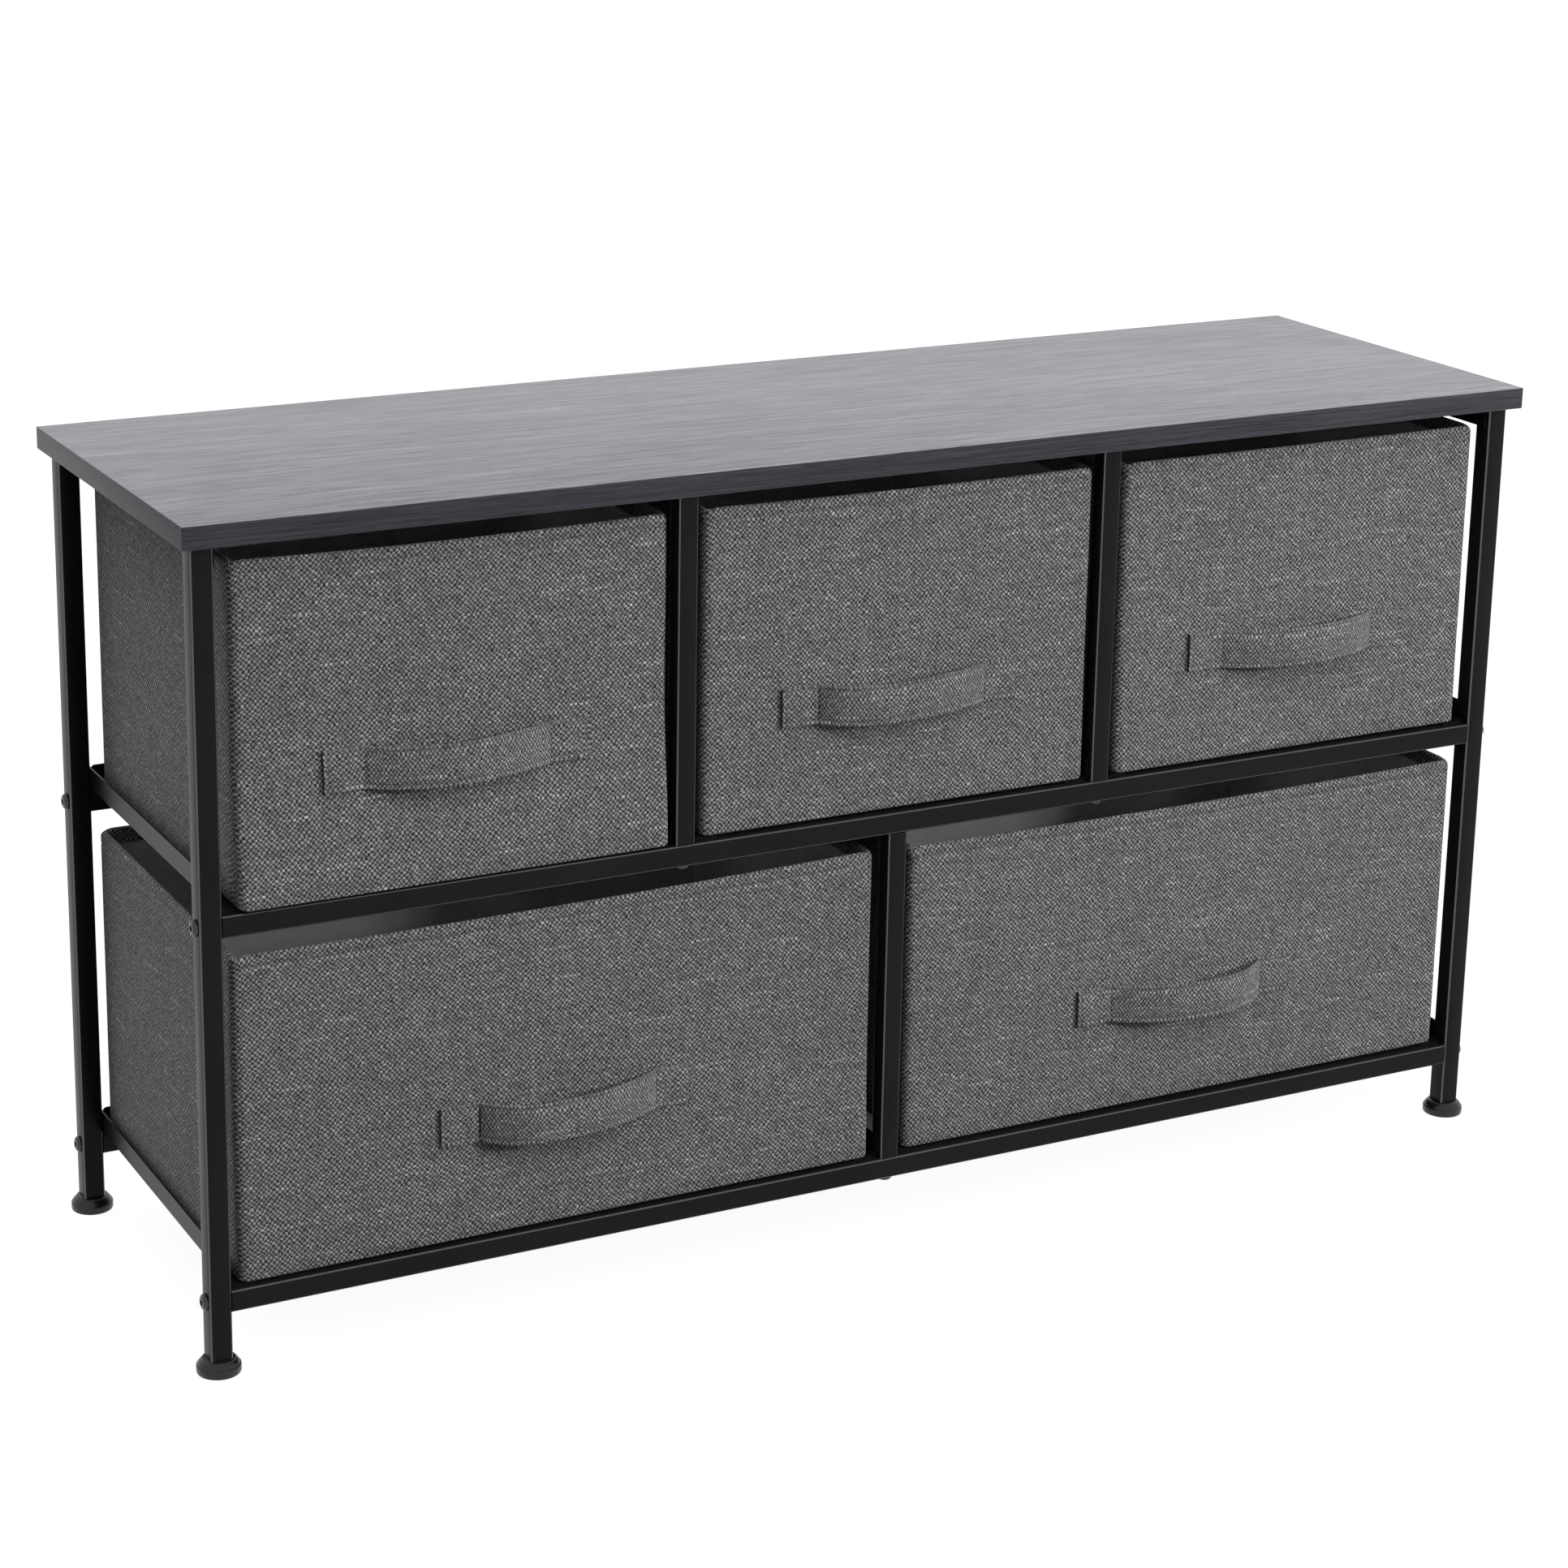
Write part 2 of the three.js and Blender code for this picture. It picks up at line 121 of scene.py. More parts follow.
darker_front = room_step("Y", -0.85, 0.2, 0.12, 1.0)
brighter_above = room_step("Z", -0.1, 0.75, 0.36, 1.74)
darker_left = room_step("X", -0.9, 0.0, 0.68, 1.0)
room_strength = maths(room, "MULTIPLY", darker_front, brighter_above)
room_strength = maths(room, "MULTIPLY", room_strength, darker_left)
room_light = node(room, "ShaderNodeBackground")
room_light.inputs["Color"].default_value = (1, 1, 1, 1)
room.links.new(room_strength, room_light.inputs["Strength"])
room_seen = node(room, "ShaderNodeBackground")
room_seen.inputs["Color"].default_value = (1, 1, 1, 1)
room_seen.inputs["Strength"].default_value = 1.0
room_mix = node(room, "ShaderNodeMixShader")
room.links.new(rays_that_see(room), room_mix.inputs[0])
room.links.new(room_light.outputs[0], room_mix.inputs[1])
room.links.new(room_seen.outputs[0], room_mix.inputs[2])
room.links.new(room_mix.outputs[0], node(room, "ShaderNodeOutputWorld").inputs["Surface"])


def area_lamp(name, place, aim, width, height, energy):
    """A soft rectangular lamp aimed at a point, with no mirror image of its own in glossy faces."""
    data = bpy.data.lights.new(name, "AREA")
    data.shape = "RECTANGLE"
    data.size = width
    data.size_y = height
    data.energy = energy
    lamp = bpy.data.objects.new(name, data)
    bpy.context.scene.collection.objects.link(lamp)
    lamp.location = place
    lamp.rotation_euler = (Vector(aim) - lamp.location).to_track_quat("-Z", "Y").to_euler()
    lamp.visible_glossy = False


area_lamp("softbox", (0.9, -3.0, 2.7), (0.1, -0.1, 0.3), 2.4, 1.8, 57)
area_lamp("low_card", (2.0, -2.4, 1.19), (-0.2, -0.1, 0.35), 0.4, 0.25, 38)


def new_material(name):
    """A node material with a new shader joined to its output, its tree and that shader."""
    material = bpy.data.materials.new(name)
    material.use_nodes = True
    tree = material.node_tree
    tree.nodes.clear()
    shader = node(tree, "ShaderNodeBsdfPrincipled")
    output = node(tree, "ShaderNodeOutputMaterial")
    tree.links.new(shader.outputs["BSDF"], output.inputs["Surface"])
    return material, tree, shader


floor_size = 40
floor_tone = 0.12
floor_brightness_seen = 0.94
bpy.ops.object.select_all(action="DESELECT")
bpy.ops.mesh.primitive_plane_add(size=floor_size, location=(0, floor_size / 5, 0))
floor = bpy.context.object
floor.name = "studio_floor"
bpy.ops.object.transform_apply(location=True, rotation=True, scale=True)
floor_material, floor_tree, floor_shader = new_material("pale_floor")
floor_shader.inputs["Base Color"].default_value = (floor_tone, floor_tone, floor_tone, 1)
floor_shader.inputs["Roughness"].default_value = 0.9
floor_shader.inputs["Specular IOR Level"].default_value = 0.1
floor_shader.inputs["Emission Color"].default_value = (1, 1, 1, 1)
floor_glow = maths(floor_tree, "MULTIPLY", rays_that_see(floor_tree), floor_brightness_seen)
floor_tree.links.new(floor_glow, floor_shader.inputs["Emission Strength"])
floor.data.materials.append(floor_material)


# Board top: a particle board faced with a fine-grained grey laminate above, its four edges banded with
# a darker strip. It is laid on the frame and screwed to the top angles from below.
def ramp(tree, source, *stops):
    """A colour ramp over a value, from pairs of position and grey or colour."""
    made = node(tree, "ShaderNodeValToRGB")
    elements = made.color_ramp.elements
    while len(elements) < len(stops):
        elements.new(0.5)
    for element, (position, colour) in zip(elements, stops):
        element.position = position
        element.color = (*colour, 1) if isinstance(colour, tuple) else (colour, colour, colour, 1)
    tree.links.new(source, made.inputs[0])
    return made.outputs["Color"]


def stretched_noise(tree, place, scale, detail, rough, seed=0.0):
    """Noise over coordinates scaled by a different amount on each axis."""
    mapping = node(tree, "ShaderNodeMapping")
    mapping.inputs["Scale"].default_value = scale
    mapping.inputs["Location"].default_value = (seed, seed * 1.7, seed * 0.6)
    tree.links.new(place, mapping.inputs["Vector"])
    noise = node(tree, "ShaderNodeTexNoise")
    noise.inputs["Scale"].default_value = 1
    noise.inputs["Detail"].default_value = detail
    noise.inputs["Roughness"].default_value = rough
    tree.links.new(mapping.outputs[0], noise.inputs["Vector"])
    return noise.outputs["Fac"]


def mixed(tree, blend, amount, first, second):
    """Two colours mixed by a blend mode and a fixed amount."""
    made = node(tree, "ShaderNodeMix", data_type="RGBA", blend_type=blend)
    made.inputs["Factor"].default_value = amount
    tree.links.new(first, made.inputs["A"])
    tree.links.new(second, made.inputs["B"])
    return made.outputs["Result"]


def bumped(tree, shader, height, strength, distance):
    """A bump from a height on a shader's normal."""
    bump = node(tree, "ShaderNodeBump")
    bump.inputs["Strength"].default_value = strength
    bump.inputs["Distance"].default_value = distance
    tree.links.new(height, bump.inputs["Height"])
    tree.links.new(bump.outputs[0], shader.inputs["Normal"])


def grained(name, dark, light, roughness, gloss_level, streak):
    """Printed wood grain that runs along X: hair-fine pores, short streaks and long soft bands."""
    material, tree, shader = new_material(name)
    place = node(tree, "ShaderNodeTexCoord").outputs["Object"]
    fine = stretched_noise(tree, place, (9, 700, 700), 4, 0.62)
    colour = ramp(tree, fine, (0.3, dark), (0.68, light))
    pores = stretched_noise(tree, place, (45, 1500, 1500), 2, 0.7, 9.0)
    for source, start, end, share in (
        (stretched_noise(tree, place, (16, 330, 900), 4, 0.7, 4.0), 0.36, 0.62, 1.0),
        (stretched_noise(tree, place, (2.2, 40, 60), 3, 0.5, 6.0), 0.3, 0.7, 0.3),
        (pores, 0.34, 0.46, 1.2),
    ):
        band = ramp(tree, source, (start, 1 - streak * share), (end, 1.0))
        colour = mixed(tree, "MULTIPLY", 1.0, colour, band)
    tree.links.new(colour, shader.inputs["Base Color"])
    shader.inputs["Roughness"].default_value = roughness
    shader.inputs["Specular IOR Level"].default_value = gloss_level
    bumped(tree, shader, pores, 0.12, 0.0003)
    return material


def block(name, low, high):
    """A cube primitive between two corners, left in edit mode with all of it selected."""
    bpy.ops.object.select_all(action="DESELECT")
    centre = [(a + b) / 2 for a, b in zip(low, high)]
    bpy.ops.mesh.primitive_cube_add(size=1, location=centre)
    made = bpy.context.object
    made.name = name
    made.data.name = name
    made.scale = [b - a for a, b in zip(low, high)]
    bpy.ops.object.transform_apply(location=True, rotation=True, scale=True)
    bpy.ops.object.mode_set(mode="EDIT")
    return made


def pick(made, kind, test):
    """Selects in edit mode the edges or faces whose middle and direction or normal pass a test."""
    bpy.ops.mesh.select_mode(type="EDGE" if kind == "edges" else "FACE")
    bpy.ops.mesh.select_all(action="DESELECT")
    mesh = bmesh.from_edit_mesh(made.data)
    if kind == "edges":
        for edge in mesh.edges:
            a, b = (v.co for v in edge.verts)
            if test((a + b) / 2, (b - a).normalized()):
                edge.select_set(True)
    else:
        mesh.normal_update()
        for face in mesh.faces:
            if test(face.calc_center_median(), face.normal):
                face.select_set(True)
    bmesh.update_edit_mesh(made.data)


def finished(made, angle):
    """Leaves edit mode and smooths what turns by less than an angle."""
    bpy.ops.object.mode_set(mode="OBJECT")
    bpy.ops.object.select_all(action="DESELECT")
    made.select_set(True)
    bpy.context.view_layer.objects.active = made
    bpy.ops.object.shade_smooth_by_angle(angle=math.radians(angle))
    return made


laminate = grained("grey_laminate", (0.165, 0.171, 0.194), (0.3, 0.308, 0.342), 0.38, 0.45, 0.42)
edge_band = grained("dark_edge_band", (0.027, 0.0275, 0.035), (0.072, 0.0735, 0.09), 0.45, 0.25, 0.45)
board_low, board_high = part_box("tabletop")
board_ease = 0.6 * MM
board = block("board_top", board_low, board_high)
bpy.ops.mesh.bevel(offset=board_ease, segments=3, affect="EDGES")
finished(board, 60)
board.data.materials.append(laminate)
board.data.materials.append(edge_band)
for face in board.data.polygons:
    face.material_index = 1 if abs(face.normal.z) < 0.3 else 0
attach(board, "frame")
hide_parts("tabletop")


# Frame: square steel tube with a satin black powder coat. Posts and dividers stand between the long
# rails. The tube's corners get a lighter, far glossier copy of the paint: a painted highlight line.
def painted(name, colour, roughness, gloss_level):
    """Powder-coated or moulded black: a fine orange peel and a little unevenness of gloss."""
    material, tree, shader = new_material(name)
    place = node(tree, "ShaderNodeTexCoord").outputs["Object"]
    peel = stretched_noise(tree, place, (900, 900, 900), 2, 0.5)
    cloud = stretched_noise(tree, place, (14, 14, 14), 3, 0.55, 3.0)
    tone = ramp(
        tree, cloud, (0.3, tuple(c * 0.85 for c in colour)), (0.7, tuple(c * 1.15 for c in colour))
    )
    tree.links.new(tone, shader.inputs["Base Color"])
    gloss = node(tree, "ShaderNodeMapRange")
    gloss.inputs["To Min"].default_value = roughness - 0.05
    gloss.inputs["To Max"].default_value = roughness + 0.06
    tree.links.new(cloud, gloss.inputs["Value"])
    tree.links.new(gloss.outputs[0], shader.inputs["Roughness"])
    shader.inputs["Specular IOR Level"].default_value = gloss_level
    bumped(tree, shader, peel, 0.1, 0.00008)
    return material


black_paint = painted("satin_black_paint", (0.0085, 0.0085, 0.009), 0.3, 0.09)
# Painted highlight: a lighter, glossier copy of the black paint for the tube's rounded corners.
corner_highlight_paint = painted("black_paint_painted_highlight", (0.014, 0.014, 0.0145), 0.16, 1.0)
tube_corner = 1.8 * MM
tube_wall = 1.2 * MM
divider_corner = 1.6 * MM
divider_wall = 1 * MM
bore_depth = 9 * MM
rows = ("front", "rear")
hands = ("left", "right")


def tube(name, cad_node, along, radius, bore_wall):
    """Square tube in the place of a CAD node: a bar with rounded corners and a bore at each end."""
    low, high = (Vector(corner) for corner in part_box(cad_node))
    made = block(name, low, high)
    axis = Vector([1.0 if i == along else 0.0 for i in range(3)])
    pick(made, "edges", lambda middle, way: abs(way.dot(axis)) > 0.99)
    bpy.ops.mesh.bevel(offset=radius, segments=4, affect="EDGES")
    for end, sign in ((low, -1), (high, 1)):
        pick(made, "faces", lambda middle, normal: normal.dot(axis) * sign > 0.99)
        bpy.ops.mesh.inset(thickness=bore_wall)
        inward = axis * (-sign * bore_depth)
        bpy.ops.mesh.extrude_region_move(TRANSFORM_OT_translate={"value": inward})
    finished(made, 32)
    made.data.materials.append(black_paint)
    made.data.materials.append(corner_highlight_paint)
    # the rounded corner faces take the paint of the painted highlight
    for face in made.data.polygons:
        face.material_index = 1 if max(map(abs, face.normal)) < 0.98 else 0
    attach(made, "frame")
    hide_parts(cad_node)


for row in rows:
    for hand in hands:
        tube(f"post_tube_{row}_{hand}", f"post_{row}_{hand}", 2, tube_corner, tube_wall)
        divider = f"upper_divider_{row}_{hand}"
        tube(f"upper_upright_{row}_{hand}", divider, 2, divider_corner, divider_wall)
    tube(f"lower_upright_{row}", f"lower_divider_{row}", 2, divider_corner, divider_wall)
    for level in ("mid", "low"):
        tube(f"{level}_bar_{row}", f"{level}_rail_{row}", 0, tube_corner, tube_wall)

# Runners and top angles: pressed steel sheet with the same black coat. The CAD already has their folds,
# tabs and screw holes, so its own shapes are shown.
for name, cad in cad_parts.items():
    if name.startswith(("runner_", "top_angle_")):
        cad.data.materials.clear()
        cad.data.materials.append(black_paint)


# Glides: moulded black plastic pucks with a straight rim, a fine step and a rounded shoulder, pushed
# into the posts on a stem.
def spun(name, points, centre, steps=48):
    """A profile of radius and height points spun about Z through a centre."""
    bpy.ops.object.select_all(action="DESELECT")
    bpy.ops.mesh.primitive_plane_add(size=1, location=centre)
    made = bpy.context.object
    made.name = name
    made.data.name = name
    bpy.ops.object.transform_apply(location=True, rotation=True, scale=True)
    bpy.ops.object.mode_set(mode="EDIT")
    bpy.ops.mesh.select_all(action="SELECT")
    bpy.ops.mesh.delete(type="VERT")
    mesh = bmesh.from_edit_mesh(made.data)
    line = [mesh.verts.new((centre[0] + r, centre[1], centre[2] + z)) for r, z in points]
    for a, b in zip(line, line[1:]):
        mesh.edges.new((a, b))
    bmesh.update_edit_mesh(made.data)
    bpy.ops.mesh.select_all(action="SELECT")
    bpy.ops.mesh.spin(
        steps=steps, angle=2 * math.pi, center=centre, axis=(0, 0, 1), use_auto_merge=True
    )
    bpy.ops.mesh.select_all(action="SELECT")
    bpy.ops.mesh.remove_doubles(threshold=0.00001)
    bpy.ops.mesh.normals_make_consistent(inside=False)
    return made


black_plastic = painted("black_glide_plastic", (0.008, 0.008, 0.0085), 0.3, 0.4)
foot_profile = [
    (0, 0.0),
    (13.5, 0.0),
    (14.2, 0.3),
    (14.5, 1.0),
    (14.5, 4.7),
    (14.35, 5.3),
    (14.0, 5.7),
    (13.65, 5.8),
    (13.5, 6.1),
    (13.1, 7.0),
    (12.4, 7.9),
    (11.6, 8.6),
    (10.9, 9.1),
    (10.75, 9.7),
    (10.3, 10.0),
    (0, 10.0),
]
for row in rows:
    for hand in hands:
        low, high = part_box(f"foot_{row}_{hand}")
        centre = ((low[0] + high[0]) / 2, (low[1] + high[1]) / 2, low[2])
        foot = spun(f"glide_{row}_{hand}", [(r * MM, z * MM) for r, z in foot_profile], centre)
        finished(foot, 40)
        foot.data.materials.append(black_plastic)
        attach(foot, "frame")
        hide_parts(f"foot_{row}_{hand}")

# Bolts: black button heads with a hexagon socket. Eight go through the posts into the rails, and six
# go up through the rails into the dividers.
black_steel = painted("black_bolt_steel", (0.012, 0.012, 0.0125), 0.25, 0.6)
bolt_head_height = 3.2 * MM
socket_radius = 2.3 * MM
socket_depth = 2 * MM
bolt_profile = [
    (0, -24.0),
    (2.3, -24.0),
    (3.0, -23.2),
    (3.0, 0.0),
    (5.2, 0.0),
    (5.5, 0.3),
    (5.5, 0.8),
    (5.35, 1.5),
    (4.95, 2.2),
    (4.3, 2.75),
    (3.6, 3.08),
    (3.1, 3.2),
    (0, 3.2),
]
bolt_pattern = spun("bolt_pattern", [(r * MM, z * MM) for r, z in bolt_profile], (0, 0, 0), 32)
bpy.ops.object.mode_set(mode="OBJECT")
bpy.ops.mesh.primitive_cylinder_add(
    vertices=6,
    radius=socket_radius,
    depth=2 * socket_depth,
    location=(0, 0, bolt_head_height),
)
socket = bpy.context.object
hollow = bolt_pattern.modifiers.new("socket", "BOOLEAN")
hollow.operation = "DIFFERENCE"
hollow.object = socket
bpy.context.view_layer.objects.active = bolt_pattern
bpy.ops.object.modifier_apply(modifier="socket")
bpy.data.objects.remove(socket)
finished(bolt_pattern, 30)
bolt_pattern.data.materials.append(black_steel)
outward = {"left": Vector((-1, 0, 0)), "right": Vector((1, 0, 0)), "under": Vector((0, 0, -1))}
for cad_name in list(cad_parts):
    if not cad_name.startswith("bolt_"):
        continue
    way = outward["under" if "divider" in cad_name else cad_name.rsplit("_", 1)[1]]
    low, high = (Vector(corner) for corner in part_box(cad_name))
    centre = (low + high) / 2
    length = (high - low).dot(Vector(map(abs, way)))
    seat = centre + way * (length / 2 - bolt_head_height)
    bolt = bolt_pattern.copy()
    bolt.data = bolt_pattern.data.copy()
    bolt.name = bolt.data.name = cad_name.replace("bolt_", "screw_")
    bpy.context.scene.collection.objects.link(bolt)
    bolt.data.transform(Matrix.Translation(seat) @ way.to_track_quat("Z", "Y").to_matrix().to_4x4())
    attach(bolt, "frame")
    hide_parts(cad_name)
bpy.data.objects.remove(bolt_pattern)


# Drawers: bins of slubby grey linen-look cloth over stiff board, lined with an embossed non-woven. The
# cloth is folded in at the rim as a hem and sewn down, and the rim sags a little between its corners.
def joined_axes(tree, x, y):
    """A vector from two sockets."""
    made = node(tree, "ShaderNodeCombineXYZ")
    tree.links.new(x, made.inputs["X"])
    tree.links.new(y, made.inputs["Y"])
    return made.outputs[0]


def yarn_count(tree, uv, along, pitch, seed):
    """The yarn count along an axis of the cloth, with yarns that wander by up to about a pitch."""
    wander = stretched_noise(tree, uv, (110, 110, 1), 2, 0.6, seed)
    shift = maths(tree, "MULTIPLY", maths(tree, "SUBTRACT", wander, 0.5), yarn_wander * pitch)
    return maths(tree, "DIVIDE", maths(tree, "ADD", along, shift), pitch)


def yarn_colour(tree, fixed, running, stretch, seed, tones):
    """The colour of a yarn, which changes from one yarn to the next and along its length."""
    vector = joined_axes(
        tree,
        maths(tree, "MULTIPLY", fixed, 7.31),
        maths(tree, "MULTIPLY", running, stretch),
    )
    noise = stretched_noise(tree, vector, (1, 1, 1), 1.5, 0.65, seed)
    return ramp(tree, noise, (0.3, tones[0]), (0.7, tones[1]))


def chance(tree, column, row):
    """A value from 0 to 1 for each place in the weave, without a pattern."""
    made = node(tree, "ShaderNodeTexWhiteNoise", noise_dimensions="2D")
    tree.links.new(joined_axes(tree, column, row), made.inputs["Vector"])
    return made.outputs["Value"]


def on_top(tree, kind, parity, weft, warp):
    """The weft's value where the weft lies on top, and the warp's where the warp does."""
    made = node(tree, "ShaderNodeMix", data_type=kind)
    tree.links.new(parity, made.inputs["Factor"])
    tree.links.new(weft, made.inputs["A"])
    tree.links.new(warp, made.inputs["B"])
    return made.outputs["Result"]


yarn_wander = 2.4
yarns_per_slub = 11.0


def linen(name, warp_pitch, weft_pitch, warp_tones, weft_tones):
    """Plain weave on the piece's own UV map in metres, of slubby yarns that wander and change tone."""
    material, tree, shader = new_material(name)
    uv = node(tree, "ShaderNodeUVMap", uv_map="cloth").outputs[0]
    axes = node(tree, "ShaderNodeSeparateXYZ")
    tree.links.new(uv, axes.inputs[0])
    u = yarn_count(tree, uv, axes.outputs["X"], warp_pitch, 0.0)
    v = yarn_count(tree, uv, axes.outputs["Y"], weft_pitch, 6.0)
    column, row = maths(tree, "FLOOR", u), maths(tree, "FLOOR", v)
    parity = maths(tree, "MODULO", maths(tree, "ABSOLUTE", maths(tree, "ADD", column, row)), 2.0)
    across = maths(tree, "ABSOLUTE", maths(tree, "SINE", maths(tree, "MULTIPLY", u, math.pi)))
    along = maths(tree, "ABSOLUTE", maths(tree, "SINE", maths(tree, "MULTIPLY", v, math.pi)))
    warp_colour = yarn_colour(tree, column, v, 0.9, 2.0, warp_tones)
    weft_colour = yarn_colour(tree, row, u, 0.6, 5.0, weft_tones)
    colour = on_top(tree, "RGBA", parity, weft_colour, warp_colour)
    uneven = ramp(tree, chance(tree, column, row), (0.0, 0.74), (1.0, 1.2))
    colour = mixed(tree, "MULTIPLY", 1.0, colour, uneven)
    row_offset = maths(tree, "MULTIPLY", row, 0.37)
    slub_count = maths(tree, "ADD", maths(tree, "DIVIDE", u, yarns_per_slub), row_offset)
    knots = chance(tree, maths(tree, "FLOOR", slub_count), row)
    colour = mixed(tree, "MULTIPLY", 1.0, colour, ramp(tree, knots, (0.97, 1.0), (0.985, 1.45)))
    height = on_top(tree, "FLOAT", parity, along, across)
    # painted shade: the colour darkens to about a third where the yarns dip down between one another
    shade_between_yarns = ramp(tree, height, (0.0, 0.3), (0.35, 1.0))
    colour = mixed(tree, "MULTIPLY", 1.0, colour, shade_between_yarns)
    for scale, seed, low, high in (
        ((34, 620, 1), 7.0, 0.84, 1.16),
        ((120, 460, 1), 17.0, 0.9, 1.1),
        ((620, 34, 1), 11.0, 0.9, 1.08),
        ((9, 9, 1), 13.0, 0.96, 1.03),
    ):
        slub = stretched_noise(tree, uv, scale, 3, 0.6, seed)
        colour = mixed(tree, "MULTIPLY", 1.0, colour, ramp(tree, slub, (0.35, low), (0.7, high)))
    tree.links.new(colour, shader.inputs["Base Color"])
    shader.inputs["Roughness"].default_value = 0.9
    shader.inputs["Specular IOR Level"].default_value = 0.2
    shader.inputs["Sheen Weight"].default_value = 0.05
    shader.inputs["Sheen Roughness"].default_value = 0.6
    bumped(tree, shader, height, 0.5, 0.0004)
    return material


rib_pitch = 1.9 * MM


def nonwoven(name, colour):
    """Pale lining with pressed ribs and a fine felted grain."""
    material, tree, shader = new_material(name)
    place = node(tree, "ShaderNodeTexCoord").outputs["Object"]
    fibres = stretched_noise(tree, place, (700, 700, 700), 3, 0.6)
    axes = node(tree, "ShaderNodeSeparateXYZ")
    tree.links.new(place, axes.inputs[0])
    turn = maths(tree, "ADD", axes.outputs["X"], axes.outputs["Y"])

    def ribs(along):
        """Pressed ribs at an even spacing along a coordinate."""
        wave = maths(tree, "SINE", maths(tree, "MULTIPLY", along, math.pi / rib_pitch))
        return maths(tree, "ABSOLUTE", wave)

    emboss = maths(tree, "MULTIPLY", ribs(turn), ribs(axes.outputs["Z"]))
    tone = ramp(tree, fibres, (0.3, tuple(c * 0.85 for c in colour)), (0.7, colour))
    # painted shade: the lining darkens in the pressed lines between its ribs
    pressed_line_shade = ramp(tree, emboss, (0.0, 0.78), (0.6, 1.0))
    tree.links.new(mixed(tree, "MULTIPLY", 1.0, tone, pressed_line_shade), shader.inputs["Base Color"])
    shader.inputs["Roughness"].default_value = 0.85
    shader.inputs["Sheen Weight"].default_value = 0.1
    bumped(tree, shader, emboss, 0.4, 0.0004)
    return material


linen_cloth = linen(
    "grey_slub_linen",
    1.76 * MM,
    1.8 * MM,
    ((0.028, 0.029, 0.031), (0.1, 0.102, 0.107)),
    ((0.262, 0.266, 0.276), (0.433, 0.439, 0.454)),
)
lining_cloth = nonwoven("pale_grey_lining", (0.8, 0.8, 0.805))
bin_wall = 3.6 * MM
bin_hem = 1.4 * MM
bin_hem_depth = 11 * MM
bin_floor = 1.6 * MM
bin_corner = 6 * MM
bin_bottom_edge = 1.8 * MM
bin_rim_edge = 2.8 * MM
bin_grid = 12 * MM
corner_grid = 3 * MM
seam_below_rim = 8.5 * MM
seam_half_width = 1.3 * MM
seam_depth = 1.0 * MM
rim_corner_drop = 3.6 * MM
rim_corner_reach = 11 * MM
panel_bow = 0.9 * MM
panel_ripple = 0.25 * MM
front_ripple = (23, 31)
side_ripple = (17, 41)
belly_fade = 2.2
foot_dip = 0.15
foot_dip_reach = 2.5 * MM
level_margin = 0.1 * MM
wall_margin = 1 * MM
corner_margin = 2 * MM
wall_depth = bin_wall + bin_hem + wall_margin


def lay_cloth(made):
    """Writes the cloth's UV map in metres: a stretch of cloth for each side, flat above and below."""
    uv = made.data.uv_layers.new(name="cloth")
    for face in made.data.polygons:
        normal = face.normal
        for loop in face.loop_indices:
            x, y, z = made.data.vertices[made.data.loops[loop].vertex_index].co
            if abs(normal.z) > 0.85:
                uv.data[loop].uv = (x, y)
            elif abs(normal.y) >= abs(normal.x):
                uv.data[loop].uv = (x if normal.y < 0 else -x + 3.0, z)
            else:
                uv.data[loop].uv = (y + 1.0 if normal.x > 0 else -y + 2.0, z)


def smooth(share):
    """A smooth step from 0 to 1."""
    share = min(max(share, 0.0), 1.0)
    return share * share * (3 - 2 * share)


def settled(point, low, high, sag, belly, aside):
    """Where a point of the bin comes to rest: the rim sags, its corners drop, and the panels bow."""
    x, y, z = point
    across = (2 * x - low.x - high.x) / (high.x - low.x)
    back = (2 * y - low.y - high.y) / (high.y - low.y)
    left, middle, right = sag
    lean = left + (right - left) * (across + 1) / 2
    drop = lean + (middle - (left + right) / 2) * (1 - across * across)
    near_x = min(x - low.x, high.x - x)
    near_y = min(y - low.y, high.y - y)
    corner = math.hypot(near_x, near_y) if min(near_x, near_y) < bin_corner else rim_corner_reach
    drop += rim_corner_drop * max(0.0, 1 - corner / rim_corner_reach) ** 2
    height = (z - low.z) / (high.z - low.z)
    # the sag dies out over the top third
    z -= drop * smooth(height * 3 - 2)
    bow = panel_bow * math.sin(math.pi * min(max(height, 0.0), 1.0))
    ripple = panel_ripple * math.sin(front_ripple[0] * x + front_ripple[1] * z)
    ripple *= math.sin(side_ripple[0] * y + side_ripple[1] * z)
    if near_y < wall_depth:
        y += math.copysign(bow * (1 - across * across) + ripple, back)
        if back < 0:
            fullness = belly[0] + (belly[1] - belly[0]) * (across + 1) / 2
            forward = fullness * (1 - smooth(height * belly_fade))
            y -= forward
            z -= foot_dip * forward * max(0.0, 1 - near_y / foot_dip_reach)
    elif near_x < wall_depth:
        x += math.copysign(bow * (1 - back * back) + ripple, across)
    return Vector((x + aside, y, z))


def runs_round_rim(middle, way, centre, half):
    """True for the outer rim edges that run round the bin, not those that cross the rim at a corner."""
    out_x = abs(middle.x - centre.x)
    out_y = abs(middle.y - centre.y)
    if out_x < half.x - bin_corner and out_y < half.y - bin_corner:
        return False
    round_part = bin_corner + corner_margin
    if out_x <= half.x - round_part or out_y <= half.y - round_part:
        return abs(way.x) > 0.99 if out_y / half.y > out_x / half.x else abs(way.y) > 0.99
    outward_x = math.copysign(1, middle.x - centre.x)
    outward_y = math.copysign(1, middle.y - centre.y)
    diagonal = Vector((outward_x, outward_y, 0)).normalized()
    return abs(way.dot(diagonal)) < 0.6


